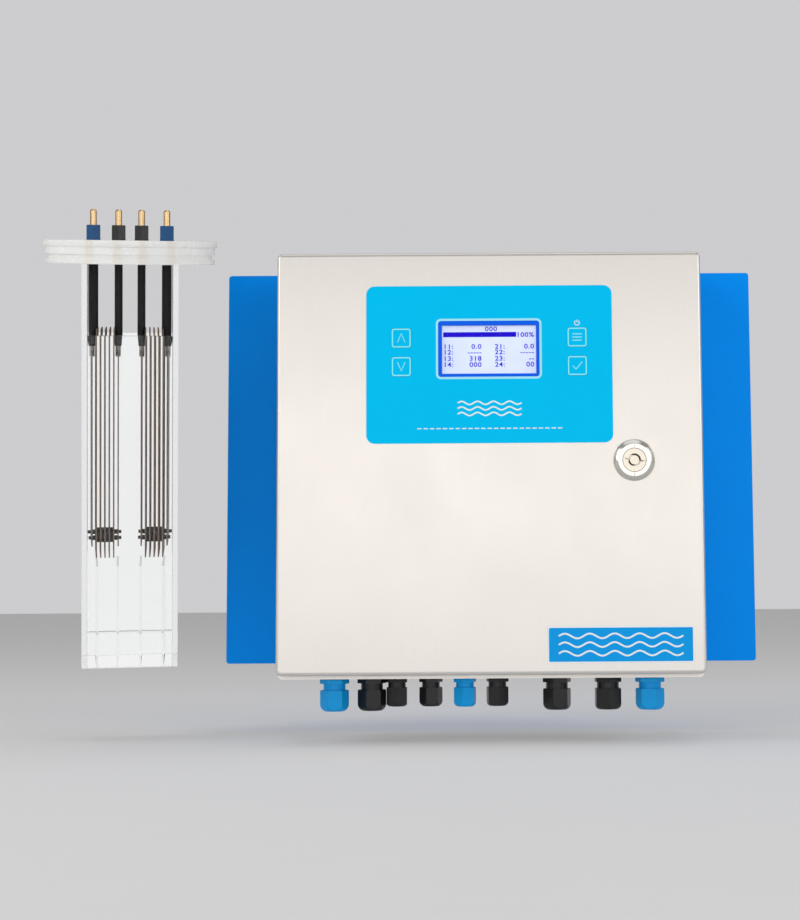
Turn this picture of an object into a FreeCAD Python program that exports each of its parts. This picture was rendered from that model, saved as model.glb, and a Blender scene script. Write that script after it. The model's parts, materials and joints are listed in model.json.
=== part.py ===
"""Salt chlorine generator: wall cabinet with its power electronics, and its electrolysis cell beside it.

Millimetres. +X right, -Y towards the person in front, +Z up. The wall plane is y = 0 and the origin is
the centre of the four wall holes.
"""
import FreeCAD, Part
import math
import os

Vec = FreeCAD.Vector
X_AXIS = Vec(1, 0, 0)
Y_AXIS = Vec(0, 1, 0)
Z_AXIS = Vec(0, 0, 1)

# ---- cabinet: driving dimensions
CABINET_W = 400.0
CABINET_H = 400.0
CABINET_D = 150.0
SHEET = 1.5
CORNER_R = 5.0
BACKING_T = 3.0
BACKING_W = 532.0
BACKING_TOP = 202.5
BACKING_BOTTOM = -191.0
WALL_HOLE_SPACING = 350.0
WALL_HOLE_R = 4.25

HALF_W = CABINET_W / 2
HALF_H = CABINET_H / 2
SHELL_BACK = -BACKING_T
DOOR_FRONT = SHELL_BACK - CABINET_D
DOOR_DEPTH = 18.0
DOOR_INNER = DOOR_FRONT + SHEET
DOOR_REAR = DOOR_FRONT + DOOR_DEPTH
DOOR_BOTTOM = -HALF_H + 4.0
DOOR_BEND = 3.5
DOOR_GAP = 2.0
SHELL_FRONT = DOOR_REAR + DOOR_GAP
LIP_W = 25.0
RIM_H = 14.0
GASKET_W = 10.0
GASKET_CLEAR = 0.1

# ---- door hinge
HINGE_X = -HALF_W + 6.0
HINGE_Y = DOOR_FRONT + 7.0
HINGE_Z = (150.0, -150.0)
HINGE_EYE_R = 3.5
HINGE_PIN_R = 2.0
HINGE_FIT = 0.05
HINGE_EYE_H = 12.0
HINGE_EAR_H = 6.0
NOTCH_H = 34.0

# ---- door fittings
OVERLAY_W = 231.5
OVERLAY_TOP = 168.0
OVERLAY_BOTTOM = 19.2
OVERLAY_R = 8.0
OVERLAY_T = 0.8
LCD_W = 89.0
LCD_TOP = 130.2
LCD_BOTTOM = 84.7
KEY_SIZE = 18.2
KEY_R = 2.5
KEY_X = 82.8
KEY_ROWS = (118.7, 91.7)
KEY_GAP = 0.25
KEY_T = 1.2
KEY_PROUD = 0.25
LOCK_X = 135.1
LOCK_Z = 2.5
LOCK_R = 19.5
LOCK_INSERT_R = 10.8
LOCK_BARREL_R = 8.5
LOCK_BODY_R = 11.0
PLATE_X = (52.7, 188.3)
PLATE_Z = (-185.1, -151.9)

# ---- cable glands: x, size, colour, turn of the hexagons
GLANDS = (
    (-148.5, "m20", "blue", 6.0),
    (-113.4, "m20", "black", 10.0),
    (-89.7, "m16", "black", 30.0),
    (-57.4, "m16", "black", 8.0),
    (-25.0, "m16", "blue", 20.0),
    (5.8, "m16", "black", 40.0),
    (62.3, "m20", "black", 14.0),
    (110.8, "m20", "black", 33.0),
    (150.2, "m20", "blue", 50.0),
)
GLAND_Y = {"blue": -110.0, "black": -104.0}
GLAND_SCALE = {"m20": 1.0, "m16": 0.81}

# ---- electrolysis cell: its own frame has its origin at the middle of the flange's top
CELL_PLACE = Vec(-344.8, -123.0, 218.9)
CELL_TURN = 10.5
CELL_LEAN = 9.9
CELL_TIP = -0.6
FLANGE_R = 82.5
FLANGE_LIP_T = 6.3
FLANGE_T = 22.3
FLANGE_LOWER_R = 80.4
GROOVE_TOP = 13.6
GROOVE_H = 4.0
GROOVE_DEPTH = 2.9
CELL_BODY_W = 90.7
CELL_BODY_D = 76.0
CELL_WALL = 5.5
CELL_BOTTOM = -408.6
WINDOW_SILL = -90.2
SHANK_R = 3.4
PIN_R = 3.2
PIN_H = 29.5
COLLAR_H = 14.5
TERMINAL_X = (-35.0, -11.2, 10.5, 34.5)
PLATE_T = 1.2
PLATE_PITCH = 4.05
PACK_X = (-23.2, 22.6)
PLATES_IN_PACK = 7
PLATE_DEPTH = 60.0
TERMINAL_PLATE_Z = (-292.0, -107.0)
BIPOLAR_PLATE_Z = (-303.0, -84.7)
SPACER_Z = -285.0
SPACER_ROD_R = 1.6
INNER_SPACER_R = 4.3
OUTER_SPACER_R = 2.3
STEM_R = 2.4
STEM_BOTTOM = -113.0
SLEEVE_BOTTOM = -103.0
OUTER_SLEEVE_R = 4.6
INNER_SLEEVE_R = 3.8
RIB_X = (-30.5, -11.3, 9.8, 31.0)
RIB_T = 2.0
RIB_TOP = -311.0
BAR_Z = -380.0
BAR_R = 1.3
ROD_Y = 20.0


def box(x, y, z):
    """A block between two corners given as (low, high) pairs."""
    corner = Vec(x[0], y[0], z[0])
    return Part.makeBox(x[1] - x[0], y[1] - y[0], z[1] - z[0], corner)


def rod_y(x, z, y, radius):
    """A round bar along Y."""
    return Part.makeCylinder(radius, y[1] - y[0], Vec(x, y[0], z), Y_AXIS)


def rod_z(x, y, z, radius):
    """A round bar along Z."""
    return Part.makeCylinder(radius, z[1] - z[0], Vec(x, y, z[0]), Z_AXIS)


def rod_x(x, y, z, radius):
    """A round bar along X."""
    return Part.makeCylinder(radius, x[1] - x[0], Vec(x[0], y, z), X_AXIS)


def rounded_slab(x, y, z, radius):
    """A block between two corners, with its four edges along Y rounded."""
    block = box(x, y, z)
    edges = [edge for edge in block.Edges if is_along(edge, Y_AXIS)]
    return block.makeFillet(radius, edges)


def is_along(edge, axis):
    """True for a straight edge along the axis."""
    if not isinstance(edge.Curve, (Part.Line, Part.LineSegment)):
        return False
    return abs(abs(edge.tangentAt(edge.FirstParameter).dot(axis)) - 1) < 1e-6


def hexagon_z(x, y, z, across_flats, turn=0.0):
    """A hexagonal prism along Z."""
    radius = across_flats / math.sqrt(3)
    points = []
    for step in range(7):
        angle = math.radians(60 * step + turn)
        points.append(Vec(x + radius * math.cos(angle), y + radius * math.sin(angle), z[0]))
    face = Part.Face(Part.makePolygon(points))
    return face.extrude(Vec(0, 0, z[1] - z[0]))


def hexagon_y(x, z, y, across_flats):
    """A hexagonal prism along Y."""
    radius = across_flats / math.sqrt(3)
    points = []
    for step in range(7):
        angle = math.radians(60 * step)
        points.append(Vec(x + radius * math.cos(angle), y[0], z + radius * math.sin(angle)))
    face = Part.Face(Part.makePolygon(points))
    return face.extrude(Vec(0, y[1] - y[0], 0))


def lathe_z(x, y, outline):
    """A solid turned about a vertical axis from (radius, z) points."""
    points = [Vec(x + radius, y, z) for radius, z in outline]
    points.append(points[0])
    face = Part.Face(Part.makePolygon(points))
    return face.revolve(Vec(x, y, 0), Z_AXIS, 360)


def lathe_y(x, z, outline):
    """A solid turned about an axis along Y from (radius, y) points."""
    points = [Vec(x + radius, y, z) for radius, y in outline]
    points.append(points[0])
    face = Part.Face(Part.makePolygon(points))
    return face.revolve(Vec(x, 0, z), Y_AXIS, 360)


def cut_all(shape, tools):
    """The shape with every tool cut away."""
    for tool in tools:
        shape = shape.cut(tool)
    return shape


def save(node, solids):
    """Write one node: one solid, or a group of separate solids."""
    if isinstance(solids, list):
        shape = Part.makeCompound(solids)
    else:
        shape = solids
    shape.exportStep("parts/" + node + ".step")


# ---------------------------------------------------------------- cabinet

def wall_hole_places():
    reach = WALL_HOLE_SPACING / 2
    return [(x, z) for x in (-reach, reach) for z in (-reach, reach)]


def backing_plate():
    x = (-BACKING_W / 2, BACKING_W / 2)
    z = (BACKING_BOTTOM, BACKING_TOP)
    sheet = rounded_slab(x, (-BACKING_T, 0.0), z, 3.0)
    holes = [rod_y(hx, hz, (-BACKING_T - 1, 1.0), WALL_HOLE_R) for hx, hz in wall_hole_places()]
    return cut_all(sheet, holes)


def cabinet_shell():
    outer = rounded_slab((-HALF_W, HALF_W), (SHELL_FRONT, SHELL_BACK), (-HALF_H, HALF_H), CORNER_R)
    wide = HALF_W - SHEET
    tall = HALF_H - SHEET
    inside = (SHELL_FRONT + SHEET, SHELL_BACK - SHEET)
    hollow = rounded_slab((-wide, wide), inside, (-tall, tall), CORNER_R - SHEET)
    open_w = HALF_W - LIP_W
    open_h = HALF_H - LIP_W
    mouth = rounded_slab((-open_w, open_w), (SHELL_FRONT - 1, inside[1] - 20), (-open_h, open_h), 4.0)
    rim_y = (SHELL_FRONT - RIM_H, SHELL_FRONT)
    rim_w = open_w + SHEET
    rim_h = open_h + SHEET
    rim = rounded_slab((-rim_w, rim_w), rim_y, (-rim_h, rim_h), 4.0 + SHEET)
    rim_hole_y = (SHELL_FRONT - RIM_H - 1, SHELL_FRONT + 1)
    rim = rim.cut(rounded_slab((-open_w, open_w), rim_hole_y, (-open_h, open_h), 4.0))
    shell = outer.cut(hollow).cut(mouth).fuse(rim)
    holes = [rod_y(x, z, (SHELL_BACK - 5, SHELL_BACK + 1), WALL_HOLE_R) for x, z in wall_hole_places()]
    for x, size, colour, turn in GLANDS:
        radius = GLAND_SCALE[size] * 10.2
        holes.append(rod_z(x, GLAND_Y[colour], (-HALF_H - 1, -HALF_H + 5), radius))
    return cut_all(shell, holes).removeSplitter()


PLATE_HALF = 160.0
PLATE_FRONT = -22.0
PLATE_SHEET = 2.0
STUD_REACH = 148.0


def stud_places():
    return [(x, z) for x in (-STUD_REACH, STUD_REACH) for z in (-STUD_REACH, STUD_REACH)]


def mounting_plate():
    y = (PLATE_FRONT, PLATE_FRONT + PLATE_SHEET)
    sheet = rounded_slab((-PLATE_HALF, PLATE_HALF), y, (-PLATE_HALF, PLATE_HALF), 6.0)
    holes = [rod_y(x, z, (y[0] - 1, y[1] + 1), 3.3) for x, z in stud_places()]
    holes.append(rod_y(TORUS_X, TORUS_Z, (y[0] - 1, y[1] + 1), 4.05))
    return cut_all(sheet, holes)


def plate_fixings():
    """Welded studs with collars, and the nuts that hold the mounting plate on them."""
    back = SHELL_BACK - SHEET
    nut_y = (PLATE_FRONT - 5, PLATE_FRONT)
    pieces = []
    for x, z in stud_places():
        collar = rod_y(x, z, (PLATE_FRONT + PLATE_SHEET, back), 6.0)
        pieces.append(collar.fuse(rod_y(x, z, (PLATE_FRONT - 10, back), 3.0)))
        pieces.append(hexagon_y(x, z, nut_y, 10.0).cut(rod_y(x, z, (nut_y[0] - 1, nut_y[1] + 1), 3.02)))
    return pieces


# ---------------------------------------------------------------- inside the cabinet

TORUS_X = -92.0
TORUS_Z = -52.0
TORUS_R = 58.0
TORUS_HOLE_R = 19.0
TORUS_H = 54.0
TORUS_BACK = PLATE_FRONT - 3.0


def transformer():
    back = TORUS_BACK
    front = TORUS_BACK - TORUS_H
    outline = [(TORUS_HOLE_R, back), (TORUS_HOLE_R, front), (TORUS_R, front), (TORUS_R, back)]
    ring = lathe_y(TORUS_X, TORUS_Z, outline)
    edges = [edge for edge in ring.Edges if isinstance(edge.Curve, Part.Circle)]
    return ring.makeFillet(9.0, edges)


def transformer_pads():
    """Rubber washers behind and in front of the ring transformer."""
    hole = rod_y(TORUS_X, TORUS_Z, (-120.0, 0.0), 6.0)
    pads = []
    for back in (PLATE_FRONT, TORUS_BACK - TORUS_H):
        pads.append(rod_y(TORUS_X, TORUS_Z, (back - 3.0, back), TORUS_R - 14.0).cut(hole))
    return pads


def transformer_fixings():
    """Steel dish, bolt and nut that clamp the ring transformer."""
    front = TORUS_BACK - TORUS_H - 3.0
    dish = lathe_y(TORUS_X, TORUS_Z, [(4.1, front - 2), (40.0, front - 2), (40.0, front), (4.1, front)])
    nut_y = (PLATE_FRONT + PLATE_SHEET, PLATE_FRONT + PLATE_SHEET + 6.5)
    shank = rod_y(TORUS_X, TORUS_Z, (front - 2, nut_y[1] + 1.5), 4.0)
    bolt = shank.fuse(hexagon_y(TORUS_X, TORUS_Z, (front - 7.3, front - 2), 13.0))
    nut = hexagon_y(TORUS_X, TORUS_Z, nut_y, 13.0)
    nut = nut.cut(rod_y(TORUS_X, TORUS_Z, (nut_y[0] - 1, nut_y[1] + 1), 4.02))
    return [dish, bolt, nut]


BOARD_X = (-12.0, 152.0)
BOARD_Z = (-18.0, 128.0)
BOARD_STAND = 12.0
BOARD_T = 1.6
BOARD_INSET = 6.0
BOARD_FRONT = PLATE_FRONT - BOARD_STAND - BOARD_T


def inset_corners(x, z, inset):
    """The four corners of a rectangle, moved in by the inset."""
    return [(px, pz) for px in (x[0] + inset, x[1] - inset) for pz in (z[0] + inset, z[1] - inset)]


def board_hole_places():
    return inset_corners(BOARD_X, BOARD_Z, BOARD_INSET)


def power_board():
    sheet = box(BOARD_X, (BOARD_FRONT, BOARD_FRONT + BOARD_T), BOARD_Z)
    holes = [rod_y(x, z, (BOARD_FRONT - 1, BOARD_FRONT + BOARD_T + 1), 1.6) for x, z in board_hole_places()]
    return cut_all(sheet, holes)


def board_fixings():
    """Hexagon spacers behind the board and pan screws in front of it."""
    spacers = [hexagon_y(x, z, (PLATE_FRONT - BOARD_STAND, PLATE_FRONT), 6.0) for x, z in board_hole_places()]
    return spacers + [pan_screw(x, z, BOARD_FRONT) for x, z in board_hole_places()]


def pan_screw(x, z, face):
    """A short M3 pan head standing on a board's front face."""
    head = lathe_y(x, z, [(0, face - 2.2), (1.8, face - 2.2), (2.8, face - 1.4), (2.8, face), (0, face)])
    slot = box((x - 2.2, x + 2.2), (face - 2.5, face - 1.3), (z - 0.4, z + 0.4))
    return head.cut(slot)


def heat_sink():
    """Finned block standing on the board's upper part."""
    x = (-6.0, 84.0)
    z = (62.0, 116.0)
    back = BOARD_FRONT - 8.0
    block = box(x, (back - 6.0, back), z)
    count = 11
    pitch = (x[1] - x[0] - 2.0) / (count - 1)
    for step in range(count):
        left = x[0] + step * pitch
        block = block.fuse(box((left, left + 2.0), (back - 32.0, back - 5.0), z))
    return block.removeSplitter()


def rectifiers():
    """Four power devices lying between the board and the heat sink."""
    y = (BOARD_FRONT - 8.0, BOARD_FRONT)
    return [box((x, x + 15.0), y, (78.0, 98.0)) for x in (0.0, 21.0, 42.0, 63.0)]


def relays():
    y = (BOARD_FRONT - 20.0, BOARD_FRONT)
    return [rounded_slab((x, x + 15.0), y, (-2.0, 27.0), 1.0) for x in (2.0, 22.0, 42.0, 62.0)]


def capacitors():
    cans = []
    for x, z in ((104.0, 96.0), (130.0, 96.0), (104.0, 68.0), (130.0, 68.0)):
        front = BOARD_FRONT - 34.0
        outline = [
            (0, front),
            (9.6, front),
            (11.0, front + 1.4),
            (11.0, BOARD_FRONT - 4.0),
            (10.2, BOARD_FRONT - 3.2),
            (11.0, BOARD_FRONT - 2.4),
            (11.0, BOARD_FRONT),
            (0, BOARD_FRONT),
        ]
        cans.append(lathe_y(x, z, outline))
    return cans


def board_terminals():
    """Two rows of screw terminals on the board's right and lower parts."""
    y = (BOARD_FRONT - 14.0, BOARD_FRONT)
    blocks = []
    for step in range(5):
        x = 84.0 + 11.0 * step
        block = box((x, x + 10.4), y, (-12.0, 2.0))
        block = block.cut(rod_y(x + 5.2, -3.5, (y[0] - 1, y[0] + 3), 3.0))
        blocks.append(block.cut(box((x + 2.4, x + 8.0), (y[0] + 5, y[1] - 3), (-12.5, -6.0))))
    return blocks


def chokes():
    """Two ring chokes lying flat on the board."""
    rings = []
    for x in (104.0, 134.0):
        front = BOARD_FRONT - 11.0
        outline = [(5.0, front), (12.5, front), (12.5, BOARD_FRONT), (5.0, BOARD_FRONT)]
        rings.append(lathe_y(x, 33.0, outline))
    return rings


RAIL_X = (-2.0, 152.0)
RAIL_Z = -70.0
RAIL_H = 35.0
RAIL_D = 7.5


def din_rail():
    back = PLATE_FRONT
    web = box(RAIL_X, (back - 1.0, back), (RAIL_Z - 13.5, RAIL_Z + 13.5))
    for side in (-1, 1):
        wall = (RAIL_Z + side * 13.5 - 0.5, RAIL_Z + side * 13.5 + 0.5)
        web = web.fuse(box(RAIL_X, (back - RAIL_D, back), wall))
        low = min(side * 13.0, side * RAIL_H / 2)
        high = max(side * 13.0, side * RAIL_H / 2)
        web = web.fuse(box(RAIL_X, (back - RAIL_D, back - RAIL_D + 1.0), (RAIL_Z + low, RAIL_Z + high)))
    return web.removeSplitter()


CLIP_Y = PLATE_FRONT - RAIL_D
BLOCK_FIRST_X = 40.0
BLOCK_PITCH = 6.2
BLOCK_COUNT = 16


def terminal_block(x):
    """One clamp block on the rail, with a screw well and a wire entry at each end."""
    front = CLIP_Y - 38.0
    block = box((x, x + 6.0), (front, CLIP_Y), (RAIL_Z - 24.0, RAIL_Z + 24.0))
    well = (front - 1.0, front + 8.0)
    for side in (-1, 1):
        z = RAIL_Z + side * 15.0
        outer = RAIL_Z + side * 25.0
        step = RAIL_Z + side * 20.0
        block = block.cut(rod_y(x + 3.0, z, well, 2.2))
        block = block.cut(box((x - 1, x + 7), well, (min(outer, step), max(outer, step))))
    return block


def terminal_blocks():
    """Row of clamp blocks between two end stops."""
    blocks = [terminal_block(BLOCK_FIRST_X + BLOCK_PITCH * step) for step in range(BLOCK_COUNT)]
    for x in (BLOCK_FIRST_X - 8.5, BLOCK_FIRST_X + BLOCK_PITCH * BLOCK_COUNT + 0.3):
        tall = (RAIL_Z - 20.0, RAIL_Z + 20.0)
        blocks.append(rounded_slab((x, x + 8.0), (CLIP_Y - 26.0, CLIP_Y), tall, 2.0))
    return blocks


BREAKER_X = (2.0, 20.0)
BREAKER_FRONT = CLIP_Y - 60.0
LEVER_Y = BREAKER_FRONT + 6.0
LEVER_R = 5.0
LEVER_W = 6.0
LEVER_TILT = 22.0


def breaker_middle():
    return (BREAKER_X[0] + BREAKER_X[1]) / 2


def circuit_breaker():
    """Stepped moulded body, and the pin that its toggle turns on."""
    low = box(BREAKER_X, (CLIP_Y - 44.0, CLIP_Y), (RAIL_Z - 40.0, RAIL_Z + 40.0))
    nose = box(BREAKER_X, (BREAKER_FRONT, CLIP_Y - 43.0), (RAIL_Z - 22.5, RAIL_Z + 22.5))
    body = low.fuse(nose).removeSplitter()
    middle = breaker_middle()
    half = LEVER_W / 2 + 0.3
    pocket = box((middle - half, middle + half), (BREAKER_FRONT - 1, BREAKER_FRONT + 13.0),
                 (RAIL_Z - 8.0, RAIL_Z + 8.0))
    pin = rod_x((middle - 6.0, middle + 6.0), LEVER_Y, RAIL_Z, 1.0)
    screws = [rod_y(middle, RAIL_Z + side * 31.0, (CLIP_Y - 45.0, CLIP_Y - 38.0), 3.2) for side in (-1, 1)]
    return [cut_all(body.cut(pocket), screws + [pin]), pin]


def breaker_lever():
    """Toggle on its pin, at rest in the upper position."""
    middle = breaker_middle()
    x = (middle - LEVER_W / 2, middle + LEVER_W / 2)
    hub = rod_x(x, LEVER_Y, RAIL_Z, LEVER_R)
    arm = box(x, (LEVER_Y - 16.0, LEVER_Y), (RAIL_Z - 2.2, RAIL_Z + 2.2))
    arm.rotate(Vec(0, LEVER_Y, RAIL_Z), X_AXIS, -LEVER_TILT)
    lever = hub.fuse(arm)
    return lever.cut(rod_x((x[0] - 1, x[1] + 1), LEVER_Y, RAIL_Z, 1.0 + HINGE_FIT))


EARTH_X = -166.0
EARTH_Y = -40.0


def earth_terminal():
    """Stud welded to the cabinet floor, with two nuts."""
    base = -HALF_H + SHEET
    stud = rod_z(EARTH_X, EARTH_Y, (base, base + 22.0), 3.0)
    pieces = [stud.fuse(rod_z(EARTH_X, EARTH_Y, (base, base + 3.0), 5.0))]
    for low in (base + 5.0, base + 12.0):
        nut = hexagon_z(EARTH_X, EARTH_Y, (low, low + 5.0), 10.0)
        pieces.append(nut.cut(rod_z(EARTH_X, EARTH_Y, (low - 1, low + 6.0), 3.02)))
    return pieces


# ---------------------------------------------------------------- glands

def gland_body(x, y, k, turn):
    """Threaded barrel with its hexagon flange and neck, top end inside the cabinet."""
    base = -HALF_H
    flange = hexagon_z(x, y, (base - 1 - 4.2 * k, base - 1), 24.0 * k, turn)
    neck = rod_z(x, y, (base - 1 - 10.2 * k, base - 1), 10.4 * k)
    barrel = rod_z(x, y, (base - 20.0 * k, base + 13.0), 9.9 * k)
    bore = rod_z(x, y, (base - 30.0, base + 20.0), 7.6 * k)
    return flange.fuse(neck).fuse(barrel).removeSplitter().cut(bore)


def gland_locknut(x, y, k, turn):
    low = -HALF_H + SHEET
    nut = hexagon_z(x, y, (low, low + 5.0), 24.0 * k, turn)
    return nut.cut(rod_z(x, y, (low - 1, low + 6.0), 9.95 * k))


def gland_nut(x, y, k, turn):
    """Hexagon dome nut with an open end."""
    top = -HALF_H - 1 - 10.2 * k
    low = top - 19.7 * (1 + k) / 2
    corner = 13.6 * k
    shoulder = Vec(x + corner, y, low + 6.3 * k)
    middle = Vec(x + 12.4 * k, y, low + 2.6 * k)
    tip = Vec(x + 9.3 * k, y, low)
    bore = 9.95 * k
    mouth = 6.6 * k
    points = [
        tip,
        Vec(x + mouth, y, low),
        Vec(x + mouth, y, low + 3.0 * k),
        Vec(x + bore, y, low + 6.0 * k),
        Vec(x + bore, y, top),
        Vec(x + corner - 0.8, y, top),
        Vec(x + corner, y, top - 0.8),
        shoulder,
    ]
    outline = [Part.makeLine(start, end) for start, end in zip(points, points[1:])]
    outline.append(Part.Arc(shoulder, middle, tip).toShape())
    turned = Part.Face(Part.Wire(outline)).revolve(Vec(x, y, 0), Z_AXIS, 360)
    return turned.common(hexagon_z(x, y, (low - 1, top + 1), 23.6 * k, turn))


def gland_seals():
    """Rubber washers under the flanges and sealing rings inside the nuts."""
    base = -HALF_H
    rings = []
    for x, size, colour, turn in GLANDS:
        y = GLAND_Y[colour]
        k = GLAND_SCALE[size]
        washer = rod_z(x, y, (base - 1.0, base), 12.0 * k)
        rings.append(washer.cut(rod_z(x, y, (base - 2.0, base + 1.0), 10.1 * k)))
        ring = rod_z(x, y, (base - 20.0 * k, base - 6.0 * k), 7.5 * k)
        rings.append(ring.cut(rod_z(x, y, (base - 30.0, base), 6.0 * k)))
    return rings


def gland_set(maker, colour=None):
    """One gland piece for every gland, or for those of one colour."""
    pieces = []
    for x, size, gland_colour, turn in GLANDS:
        if colour in (None, gland_colour):
            pieces.append(maker(x, GLAND_Y[gland_colour], GLAND_SCALE[size], turn))
    return pieces


# ---------------------------------------------------------------- hinges

def hinge_brackets():
    """Arms on the cabinet's lip that carry the lower half of each hinge."""
    brackets = []
    for z in HINGE_Z:
        height = (z - HINGE_EYE_H / 2, z + HINGE_EYE_H / 2)
        foot = box((HINGE_X - 4.0, HINGE_X + 10.0), (SHELL_FRONT - 2.5, SHELL_FRONT), (z - 12.0, z + 12.0))
        arm = box((HINGE_X - 1.0, HINGE_X + 3.5), (HINGE_Y, SHELL_FRONT - 2.0), height)
        eye = rod_z(HINGE_X, HINGE_Y, height, HINGE_EYE_R)
        bore = rod_z(HINGE_X, HINGE_Y, (z - 20.0, z + 20.0), HINGE_PIN_R + HINGE_FIT)
        brackets.append(foot.fuse(arm).fuse(eye).removeSplitter().cut(bore))
    return brackets


def hinge_ears():
    """Pairs of ears welded inside the door, above and below each arm."""
    ears = []
    for z in HINGE_Z:
        for side in (-1, 1):
            near = z + side * (HINGE_EYE_H / 2 + 0.3)
            far = near + side * HINGE_EAR_H
            height = (min(near, far), max(near, far))
            block = box((HINGE_X - 2.4, HINGE_X + HINGE_EYE_R), (DOOR_INNER, HINGE_Y), height)
            eye = rod_z(HINGE_X, HINGE_Y, height, HINGE_EYE_R)
            bore = rod_z(HINGE_X, HINGE_Y, (z - 30.0, z + 30.0), HINGE_PIN_R)
            ears.append(block.fuse(eye).removeSplitter().cut(bore))
    return ears


def hinge_pins():
    reach = HINGE_EYE_H / 2 + HINGE_EAR_H + 1.3
    return [rod_z(HINGE_X, HINGE_Y, (z - reach, z + reach), HINGE_PIN_R) for z in HINGE_Z]


# ---------------------------------------------------------------- door

def bent_pan(y, inset, bend):
    """A block the size of the door less an inset, with its front edges bent round."""
    wide = HALF_W - inset
    height = (DOOR_BOTTOM + inset, HALF_H - inset)
    block = rounded_slab((-wide, wide), y, height, CORNER_R - inset)
    front = [edge for edge in block.Edges if abs(edge.BoundBox.YMax - y[0]) < 1e-6]
    return block.makeFillet(bend, front)


def door_panel():
    pan = bent_pan((DOOR_FRONT, DOOR_REAR), 0.0, DOOR_BEND)
    pan = pan.cut(bent_pan((DOOR_INNER, DOOR_REAR + 1), SHEET, DOOR_BEND - SHEET))
    through = (DOOR_FRONT - 1, DOOR_INNER + 1)
    cuts = [box((-LCD_W / 2, LCD_W / 2), through, (LCD_BOTTOM, LCD_TOP))]
    cuts.append(rod_y(LOCK_X, LOCK_Z, through, LOCK_BODY_R))
    for x, z in key_places():
        half = KEY_SIZE / 2 + KEY_GAP
        cuts.append(rounded_slab((x - half, x + half), through, (z - half, z + half), KEY_R + KEY_GAP))
    for z in HINGE_Z:
        side = (-HALF_W - 1, -HALF_W + SHEET + 1)
        cuts.append(box(side, (DOOR_FRONT + 4.0, DOOR_REAR + 1), (z - NOTCH_H / 2, z + NOTCH_H / 2)))
    return cut_all(pan, cuts)


def door_gasket():
    middle_w = HALF_W - LIP_W + SHEET / 2
    middle_h = HALF_H - LIP_W + SHEET / 2
    y = (DOOR_INNER, SHELL_FRONT - RIM_H - GASKET_CLEAR)
    half = GASKET_W / 2
    wide = middle_w + half
    tall = middle_h + half
    ring = rounded_slab((-wide, wide), y, (-tall, tall), 9.0)
    wide = middle_w - half
    tall = middle_h - half
    return ring.cut(rounded_slab((-wide, wide), (y[0] - 1, y[1] + 1), (-tall, tall), 3.0))


def key_places():
    return [(x, z) for x in (-KEY_X, KEY_X) for z in KEY_ROWS]


OVERLAY_Y = (DOOR_FRONT - OVERLAY_T, DOOR_FRONT)


def keypad_overlay():
    half = OVERLAY_W / 2
    sheet = rounded_slab((-half, half), OVERLAY_Y, (OVERLAY_BOTTOM, OVERLAY_TOP), OVERLAY_R)
    through = (DOOR_FRONT - 3, DOOR_FRONT + 1)
    cuts = [box((-LCD_W / 2, LCD_W / 2), through, (LCD_BOTTOM, LCD_TOP))]
    for x, z in key_places():
        reach = KEY_SIZE / 2 + KEY_GAP
        cuts.append(rounded_slab((x - reach, x + reach), through, (z - reach, z + reach), KEY_R + KEY_GAP))
    return cut_all(sheet, cuts)


def lcd_window():
    return box((-LCD_W / 2, LCD_W / 2), OVERLAY_Y, (LCD_BOTTOM, LCD_TOP))


LCD_FRONT = DOOR_INNER + 0.5
LCD_DEPTH = 7.0
DISPLAY_BOARD_Y = (LCD_FRONT + LCD_DEPTH, LCD_FRONT + LCD_DEPTH + 1.6)
DISPLAY_BOARD_X = (-104.0, 104.0)
DISPLAY_BOARD_Z = (60.0, 150.0)


def lcd_module():
    x = (-LCD_W / 2 - 3, LCD_W / 2 + 3)
    return box(x, (LCD_FRONT, LCD_FRONT + LCD_DEPTH), (LCD_BOTTOM - 4, LCD_TOP + 4))


def display_board():
    return box(DISPLAY_BOARD_X, DISPLAY_BOARD_Y, DISPLAY_BOARD_Z)


def display_posts():
    places = inset_corners(DISPLAY_BOARD_X, DISPLAY_BOARD_Z, BOARD_INSET)
    return [rod_y(x, z, (DOOR_INNER, DISPLAY_BOARD_Y[0]), 2.5) for x, z in places]


KEY_BACK = DOOR_FRONT - OVERLAY_T - KEY_PROUD + KEY_T
STEM_END = DISPLAY_BOARD_Y[0] - 4.2


def key(x, z):
    half = KEY_SIZE / 2
    y = (KEY_BACK - KEY_T, KEY_BACK)
    pad = rounded_slab((x - half, x + half), y, (z - half, z + half), KEY_R)
    return pad.fuse(rod_y(x, z, (KEY_BACK, STEM_END), 2.0))


def key_switches():
    switches = []
    for x, z in key_places():
        body = box((x - 3, x + 3), (DISPLAY_BOARD_Y[0] - 3.0, DISPLAY_BOARD_Y[0]), (z - 3, z + 3))
        switches.append(body.fuse(rod_y(x, z, (DISPLAY_BOARD_Y[0] - 3.5, DISPLAY_BOARD_Y[0] - 2.5), 1.6)))
    return switches


def display_components():
    """Key switches on the board's front, a processor and a plug socket on its back."""
    back = DISPLAY_BOARD_Y[1]
    processor = box((-12.0, 4.0), (back, back + 2.2), (92.0, 108.0))
    socket = box((-60.0, -34.0), (back, back + 8.0), (84.0, 92.0))
    return key_switches() + [processor, socket]


def rating_plate():
    return rounded_slab(PLATE_X, (DOOR_FRONT - 0.6, DOOR_FRONT), PLATE_Z, 2.0)


LOCK_FACE = DOOR_FRONT - 4.0
CAM_Y = (SHELL_FRONT + SHEET + 0.4, SHELL_FRONT + SHEET + 3.4)
CAM_REACH = 50.0
BARREL_FACE = LOCK_FACE + 0.5


def at_lock(shape):
    """A piece made round the Y axis, moved to the lock's place in the door."""
    shape.translate(Vec(LOCK_X, 0, LOCK_Z))
    return shape


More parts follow.
